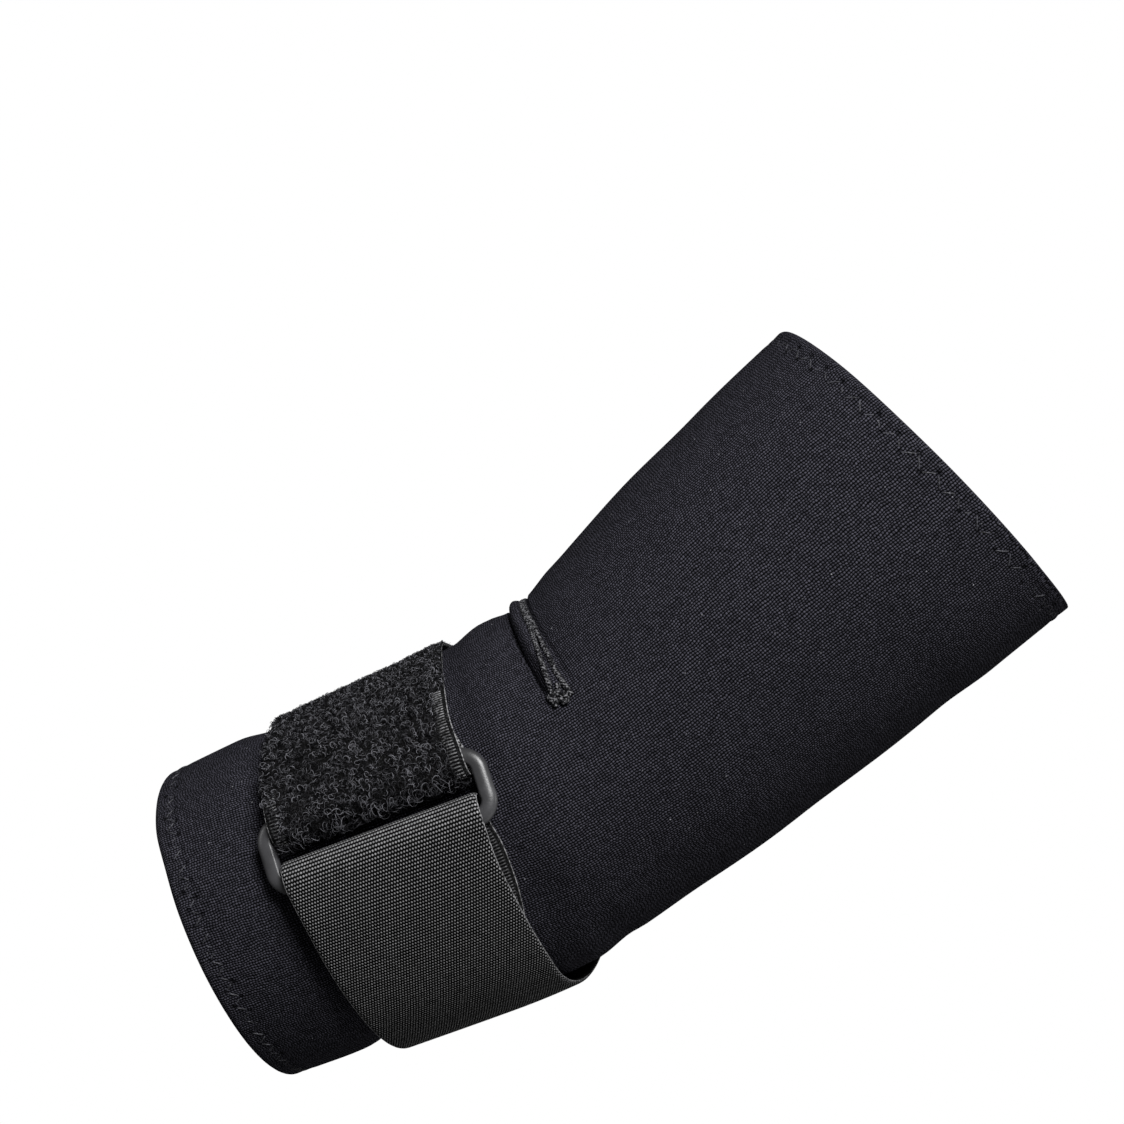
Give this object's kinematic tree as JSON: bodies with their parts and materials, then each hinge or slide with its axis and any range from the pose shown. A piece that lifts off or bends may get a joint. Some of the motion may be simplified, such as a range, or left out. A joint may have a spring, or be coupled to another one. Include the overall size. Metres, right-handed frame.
{
  "type": "elbow support sleeve with tennis elbow strap",
  "caption": "Padded black elbow sleeve with a slight bend, a sewn dart inside the bend, and a webbing strap drawn tight round its narrow half through an oblong plastic ring.",
  "frame": {"origin": "middle of the bend, on the sleeve's middle line, where the elbow joint sits", "axes": "+X along the sleeve to its wide end, +Y away from the side that carries the ring, +Z to the inside of the bend"},
  "size_m": [0.2253, 0.0971, 0.1101],
  "materials": {
    "padded_knit": "fine stretch knit over foam rubber, black",
    "pile_webbing": "woven webbing with loop pile on one face, black",
    "moulded_ring": "satin moulded plastic, dark grey"
  },
  "bodies": {
    "root": {"sleeve": "padded_knit", "strap": "pile_webbing", "buckle_ring": "moulded_ring"}
  },
  "joints": []
}
